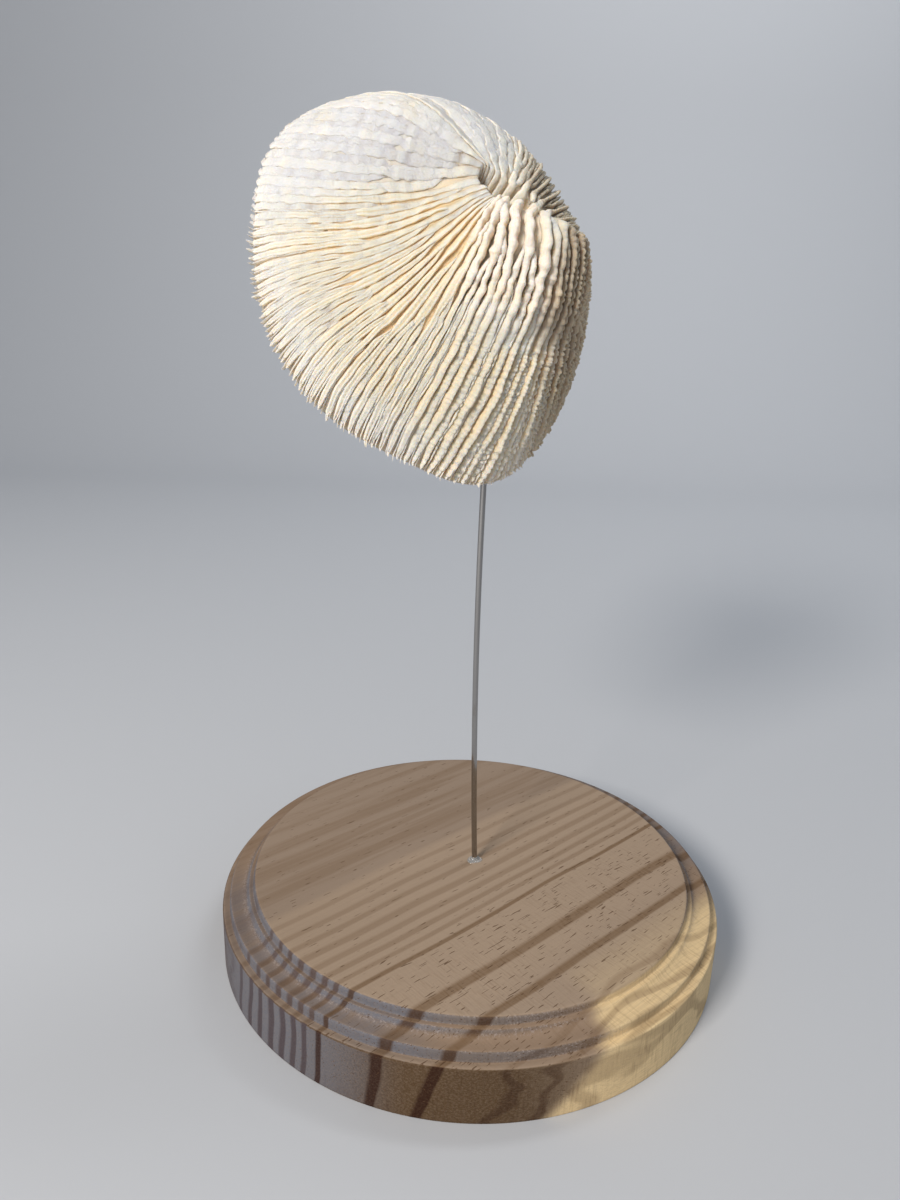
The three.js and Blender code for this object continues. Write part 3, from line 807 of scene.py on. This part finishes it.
# Section of a blade, corner by corner from the foot on one side to the foot on the other: how far up
# and how far to the side each corner is, for a ratchet, a round top, a worn flat top, a top split into
# two edges and a thin plate
RATCHET = np.array([[-0.15, 0.50, 0.88, 1.0, 0.95, 0.82, 0.60, 0.32, -0.15],
                    [1.00, 1.00, 0.98, 0.88, 0.62, 0.25, -0.22, -0.68, -1.05]])
ROUND_TOP = np.array([[-0.15, 0.50, 0.80, 0.96, 1.0, 0.96, 0.80, 0.50, -0.15],
                      [1.05, 1.04, 0.94, 0.55, 0.0, -0.55, -0.94, -1.04, -1.05]])
WORN_FLAT = np.array([[-0.15, 0.50, 0.94, 0.99, 1.0, 0.99, 0.94, 0.50, -0.15],
                      [1.08, 1.08, 1.02, 0.60, 0.0, -0.60, -1.02, -1.08, -1.08]])
TWO_EDGED = np.array([[-0.15, 0.55, 0.92, 0.86, 0.48, 0.90, 1.0, 0.50, -0.15],
                      [1.05, 1.02, 0.80, 0.42, 0.06, -0.28, -0.58, -1.00, -1.05]])
THIN_PLATE = np.array([[-0.15, 0.45, 0.80, 0.95, 1.0, 0.95, 0.80, 0.45, -0.15],
                       [1.60, 1.15, 0.85, 0.55, 0.0, -0.55, -0.85, -1.15, -1.60]])


def blade_piece(name, numbers, rank, steps):
    """The blades with these numbers, all of one cycle (rank 0 is the oldest, 3 the thin ones). Each
    one's middle line follows the skin from its start to the margin, and the corners of its section are
    set out from that line: feet sunk in the wall, flanks, shoulders and the crest."""
    count = len(numbers)
    margin_angle = ((numbers + rng.uniform(-0.15, 0.15, count)) * BLADE_SPACING)[:, None]
    second_start, third_start = (around(starts, margin_angle) for starts in cycle_starts)
    start = (np.full((count, 1), 0.006), second_start, third_start, third_start + 0.12)[rank]
    if rank > 0:
        start = np.maximum(start + rng.uniform(-0.05, 0.05, (count, 1)), 0.02)
    left_side = towards(margin_angle, 245, 78, 6)
    blunt = towards(margin_angle, 172, 38, 6)
    past_margin = (0.006 + 0.03 * left_side) * (1 - 0.7 * blunt)
    end = 1.0 + rng.uniform(0.35, 1.0, (count, 1)) * past_margin
    reach = start + (end - start) * np.linspace(0, 1, steps)
    run = reach * BLADE_LENGTH
    near_hump = towards(margin_angle, -48, 34, 6)
    wander = uneven(count, run, [31, 14, 7], 0.055 * BLADE_SPACING)
    wander = wander * step_up(reach, 0.03, 0.25) * (1 + 0.9 * near_hump)
    begun = step_up(reach, start, start + GROWING[rank])
    fork = FORKS[rank] * BLADE_SPACING * rng.choice([-1, 1], (count, 1)) * (1 - begun)
    gap = sideways_gap(margin_angle, reach)
    angle = stray(margin_angle, reach) + wander + fork
    skin = face_point(angle, reach)
    normal = face_frame(angle, np.minimum(reach, WALL_END))[1]
    travel = np.gradient(skin, axis=1)
    travel /= np.linalg.norm(travel, axis=-1, keepdims=True)
    side = np.cross(normal, travel)

    # Room between neighbours of the cycles that have started, and the share of it that a blade fills
    zone = zones(angle, reach)
    smooth = np.maximum(zone["lobe"], 0.8 * zone["strip"])
    thin = np.maximum(zone["far_bank"], 0.8 * zone["flank"])
    third_begun = step_up(reach, third_start, third_start + 0.10)
    second_begun = step_up(reach, second_start, second_start + 0.08)
    room = gap * (1 + (1 - third_begun) + 2 * (1 - second_begun))
    fill = 0.465 + 0.15 * smooth - 0.03 * zone["slope"] - 0.03 * zone["hump"]
    fill = fill - 0.04 * zone["fan_edge"] - 0.25 * thin - 0.12 * zone["posts"] * (1 - thin)
    half = np.minimum(fill * room, WIDEST_HALF + 0.35 * smooth)
    each = 0.06 * rng.uniform(-1, 1, (count, 1))
    half = half * (1 + each + uneven(count, run, [9, 4], 0.07) * (1 + 1.5 * smooth + 1.2 * zone["hump"]))
    if rank > 0:
        half = half * (0.35 + 0.65 * begun)
    if rank == 3:
        half = np.minimum(0.18 * room, THINNEST_HALF)
    half = half * (1 - 0.25 * left_side * step_up(reach, 0.90, 1.0) * (1 - blunt))
    taper = np.clip((reach - end + 0.09) / 0.09, 0, 1)
    half = half * (1 - 0.62 * taper ** 3 * (1 - 0.6 * blunt))

    # Crest line: slow rises and dips, the younger cycles lower, and knobs that end with the hump
    depth = groove_depth(angle, reach)
    crest = uneven(count, run, [17, 8, 4.3], 0.30) + rng.uniform(-0.20, 0.20, (count, 1))
    crest = crest * (1 - 0.8 * smooth)
    knobbly = towards(angle, -30, 14, 4)
    knob_end = 0.41 + rng.uniform(-0.06, 0.06, (count, 1)) - 0.03 * rank
    knob = zone["hump"] * (1 - knobbly * step_up(reach, knob_end, knob_end + 0.035))
    crest = crest + (1.4 - 0.35 * rank) * knob + uneven(count, run, [4.4, 2.7], 0.46) * zone["hump"]
    drop = CREST_DROPS[rank] + min(rank, 2) * (0.30 * zone["slope"] + 0.3 * zone["far_bank"])
    crest = crest - drop * (1 - 0.6 * step_up(reach, 0.85, 1.0))
    if rank > 0:
        crest = crest - (depth + 0.2) * (1 - step_up(reach, start, start + 0.05))

    # Two rows of teeth along the crest, and the spur at the margin
    small = teeth(count, run, SMALL_TOOTH, 0.9)
    large = teeth(count, run, LARGE_TOOTH, 0.7)
    edge_teeth = np.maximum(zone["slope"], 0.35 * zone["fan_edge"])
    small_size = 0.05 * (1 - smooth) + 0.42 * edge_teeth + 0.12 * zone["hump"]
    small_size = small_size + 0.15 * step_up(reach, 0.86, 1.0) + 0.25 * zone["flank"]
    large_size = 0.9 * zone["far_bank"] + 0.25 * zone["hump"] + 0.30 * zone["slope"] + 0.3 * zone["flank"]
    crest = crest - small_size * small - large_size * large
    spur_size = rng.uniform(0.25, 1.0, (count, 1)) ** 1.2 * (0.7 + 0.5 * left_side) * (1 - 0.75 * blunt)
    top = np.maximum(crest, -depth) + spur_size * taper ** 1.5

    # Sideways sway of the whole blade and of its top, and grit on every corner
    feather = uneven(count, run, [5.3, 2.9], 0.26) * (smooth + 0.8 * zone["hump"]) * begun
    top = top + uneven(count, run, [6.1, 3.3], 0.09) * smooth
    lean = uneven(count, run, [27, 11, 6], 0.12) * np.minimum(1, room / 2)
    lean = lean * (1 + 1.0 * zone["hump"]) * (1 - 0.7 * smooth)
    grit_size = 0.025 + 0.035 * zone["hump"] + 0.01 * zone["slope"] - 0.01 * smooth
    grit = rng.normal(0, 1, (count, steps, SECTION_CORNERS, 2)) * grit_size[..., None, None]

    # The section, blended by zone, and set out from the middle line
    ratchet = 0.75 + 0.25 * np.maximum(zone["fan_edge"], zone["slope"]) - 0.45 * zone["hump"]
    ratchet = np.clip(ratchet - 0.75 * smooth - zone["posts"], 0, 1)[..., None]
    worn = smooth[..., None]
    stout = [ROUND_TOP[k] * (1 - worn) + WORN_FLAT[k] * worn for k in range(2)]
    section = [RATCHET[k] * ratchet + stout[k] * (1 - ratchet) for k in range(2)]
    split = towards(angle, 252, 50, 6) * step_up(reach, 0.30, 0.50) * rng.uniform(0.45, 1.0, (count, 1))
    split = (split * (1 - 0.6 * smooth))[..., None]
    section = [section[k] * (1 - split) + TWO_EDGED[k] * split for k in range(2)]
    thin_share = np.ones_like(thin)[..., None] if rank == 3 else thin[..., None]
    levels, widths = (section[k] * (1 - thin_share) + THIN_PLATE[k] * thin_share for k in range(2))
    rise = (depth + top)[..., None] * levels - depth[..., None] + grit[..., 0]
    across = half[..., None] * widths + lean[..., None] * np.maximum(levels, 0)
    across = across + feather[..., None] + grit[..., 1]
    rows = skin[:, :, None] + normal[:, :, None] * rise[..., None] + side[:, :, None] * across[..., None]
    points, faces = strips(rows)
    piece = add_piece(name, stand_up(points), faces)

    # Marks for the finish: the place on the face, the height in the section and the way it grew
    marks = {
        key: np.repeat(values[..., None], SECTION_CORNERS, axis=2)
        for key, values in face_marks(angle, reach).items()
    }
    set_marks(piece, crest=np.maximum(levels, 0) ** 1.3, **marks)
    run_grid = np.broadcast_to(run[..., None], across.shape)
    grown = np.stack([across + 7.3 * numbers[:, None, None], run_grid, rise], axis=-1)
    layer = piece.data.attributes.new("grown", "FLOAT_VECTOR", "POINT")
    layer.data.foreach_set("vector", np.ascontiguousarray(grown, dtype=np.float32).ravel())
    piece.data.materials.append(skeleton)
    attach(piece, "root")


blade_piece("coral_oldest_blades", np.arange(0, FINEST_BLADES, 4), 0, 280)
blade_piece("coral_second_blades", np.arange(2, FINEST_BLADES, 4), 1, 270)
blade_piece("coral_upper_young_blades", np.arange(1, FINEST_BLADES // 2, 2), 2, 200)
blade_piece("coral_lower_young_blades", np.arange(FINEST_BLADES // 2 + 1, FINEST_BLADES, 2), 2, 240)
THIN_NUMBERS = np.concatenate([np.arange(-11.5, 40), np.arange(71.5, 116)])
blade_piece("coral_thin_blades", THIN_NUMBERS, 3, 90)


# Ribs of the underside (costae). Low rough ribs that carry the blades on round the margin and in
# under the disc, with blunt spines in rows, fading out towards the middle.
RIB_COUNT = 128
RIB_STEPS = 70
RIB_END = 0.99
RIB_FOOT = 0.3
RIB_HALF = 0.45
RIB_CREST = 0.08
SPINE_PITCH = 1.9
rib_angle = (np.arange(RIB_COUNT) + rng.uniform(-0.15, 0.15, RIB_COUNT)) * 2 * np.pi / RIB_COUNT
rib_start = np.where(np.arange(RIB_COUNT) % 2 == 0, 0.16, 0.48) + rng.uniform(-0.04, 0.04, RIB_COUNT)
rib_start = rib_start[:, None]
rib_share = rib_start + (RIB_END - rib_start) * np.linspace(0, 1, RIB_STEPS)
rib_run = rib_share * BLADE_LENGTH
rib_angles = np.repeat(rib_angle[:, None], RIB_STEPS, axis=1) + uneven(RIB_COUNT, rib_run, [29, 12], 0.006)
rib_line = under_point(rib_angles, rib_share)
rib_out = np.gradient(rib_line, axis=1)
rib_out /= np.linalg.norm(rib_out, axis=-1, keepdims=True)
rib_side = np.stack([-np.sin(rib_angles), np.cos(rib_angles), np.zeros_like(rib_angles)], axis=-1)
rib_down = np.cross(rib_out, rib_side) * -1
spines = 1 - teeth(RIB_COUNT, rib_run, SPINE_PITCH, 1.6)
rib_height = (0.25 + 0.75 * spines) * (0.35 + 0.5 * step_up(rib_share, 0.2, 0.8))
rib_height = rib_height * step_up(rib_share, rib_start, rib_start + 0.06)
rib_height = rib_height * (1 - 0.8 * step_up(rib_share, 0.93, RIB_END))
rib_half = np.minimum(RIB_HALF, 0.3 * rib_run * 2 * np.pi / RIB_COUNT)[..., None]
rib_foot = rib_line - rib_down * RIB_FOOT
rib_top = rib_line + rib_down * rib_height[..., None]
rib_rows = np.stack([
    rib_foot - rib_side * rib_half,
    rib_top - rib_side * rib_half * 0.45,
    rib_top + rib_down * RIB_CREST,
    rib_top + rib_side * rib_half * 0.45,
    rib_foot + rib_side * rib_half,
], axis=2)
rib_points, rib_faces = strips(rib_rows)
ribs = add_piece("coral_under_ribs", stand_up(rib_points), rib_faces)
rib_shape = rib_rows.shape[:3]
# The ribs take fixed shares of the marks, some painted shade among them
set_marks(
    ribs,
    crest=np.broadcast_to(np.array([0.2, 0.8, 1.0, 0.8, 0.2]), rib_shape),
    warm=np.full(rib_shape, 0.15),
    grey=np.full(rib_shape, 0.3),
    white=np.full(rib_shape, 0.2),
)
ribs.data.materials.append(skeleton)
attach(ribs, "root")


# Studio. A plain pale floor that curves up into the backdrop, one large soft lamp high on the left
# in front, a weak one on the right, and an even pale sky.
FLOOR_HALF_WIDTH = 2.4
FLOOR_FRONT = -1.6
BACK_START = 0.9
BACK_RADIUS = 0.6
BACK_HEIGHT = 1.9
PAPER_COLOUR = (0.52, 0.53, 0.55, 1)
bend_turn = np.linspace(0, np.pi / 2, 24)
floor_line = np.concatenate([
    [[FLOOR_FRONT, 0.0]],
    np.stack([BACK_START + BACK_RADIUS * np.sin(bend_turn), BACK_RADIUS * (1 - np.cos(bend_turn))], axis=1),
    [[BACK_START + BACK_RADIUS, BACK_HEIGHT]],
])
floor_points = np.concatenate([
    np.insert(floor_line, 0, -FLOOR_HALF_WIDTH, axis=1),
    np.insert(floor_line, 0, FLOOR_HALF_WIDTH, axis=1),
]) / MM
steps = len(floor_line)
first = np.arange(steps - 1)
floor_faces = np.stack([first, first + steps, first + steps + 1, first + 1], axis=1).tolist()
floor = add_piece("floor", floor_points, floor_faces)
pale, tree, shader = finish_of("pale_paper", Base_Color=PAPER_COLOUR, Roughness=0.9, Specular_IOR_Level=0.2)
floor.data.materials.append(pale)


def soft_lamp(name, place, aim, size, power, colour):
    """A square lamp that faces a point."""
    data = bpy.data.lights.new(name, "AREA")
    data.size = size
    data.energy = power
    data.color = colour
    lamp = bpy.data.objects.new(name, data)
    back = np.array(place, float) - aim
    back /= np.linalg.norm(back)
    right = np.cross([0, 0, 1.0], back)
    right /= np.linalg.norm(right)
    turn = Matrix(np.stack([right, np.cross(back, right), back], axis=1).tolist()).to_4x4()
    lamp.matrix_world = Matrix.Translation(place) @ turn
    bpy.context.scene.collection.objects.link(lamp)


# Name, place, aim, width, watts and colour of each lamp
LAMPS = [
    ("key_lamp", (-0.65, -0.90, 0.80), (0, 0, 0.18), 0.35, 17.6, (1.0, 0.955, 0.90)),
    ("fill_lamp", (1.1, -0.5, 0.5), (0, 0, 0.15), 0.8, 1.6, (0.90, 0.95, 1.0)),
    ("backdrop_lamp", (0.5, 0.45, 1.3), (0.25, 1.5, 0.45), 0.6, 9.0, (0.96, 0.98, 1.0)),
]
SKY_COLOUR = (0.80, 0.88, 1.0, 1)
SKY_STRENGTH = 0.27
for lamp_values in LAMPS:
    soft_lamp(*lamp_values)
world = bpy.data.worlds.new("studio")
world.use_nodes = True
world.node_tree.nodes["Background"].inputs["Color"].default_value = SKY_COLOUR
world.node_tree.nodes["Background"].inputs["Strength"].default_value = SKY_STRENGTH
bpy.context.scene.world = world
bpy.context.scene.view_settings.view_transform = "Standard"
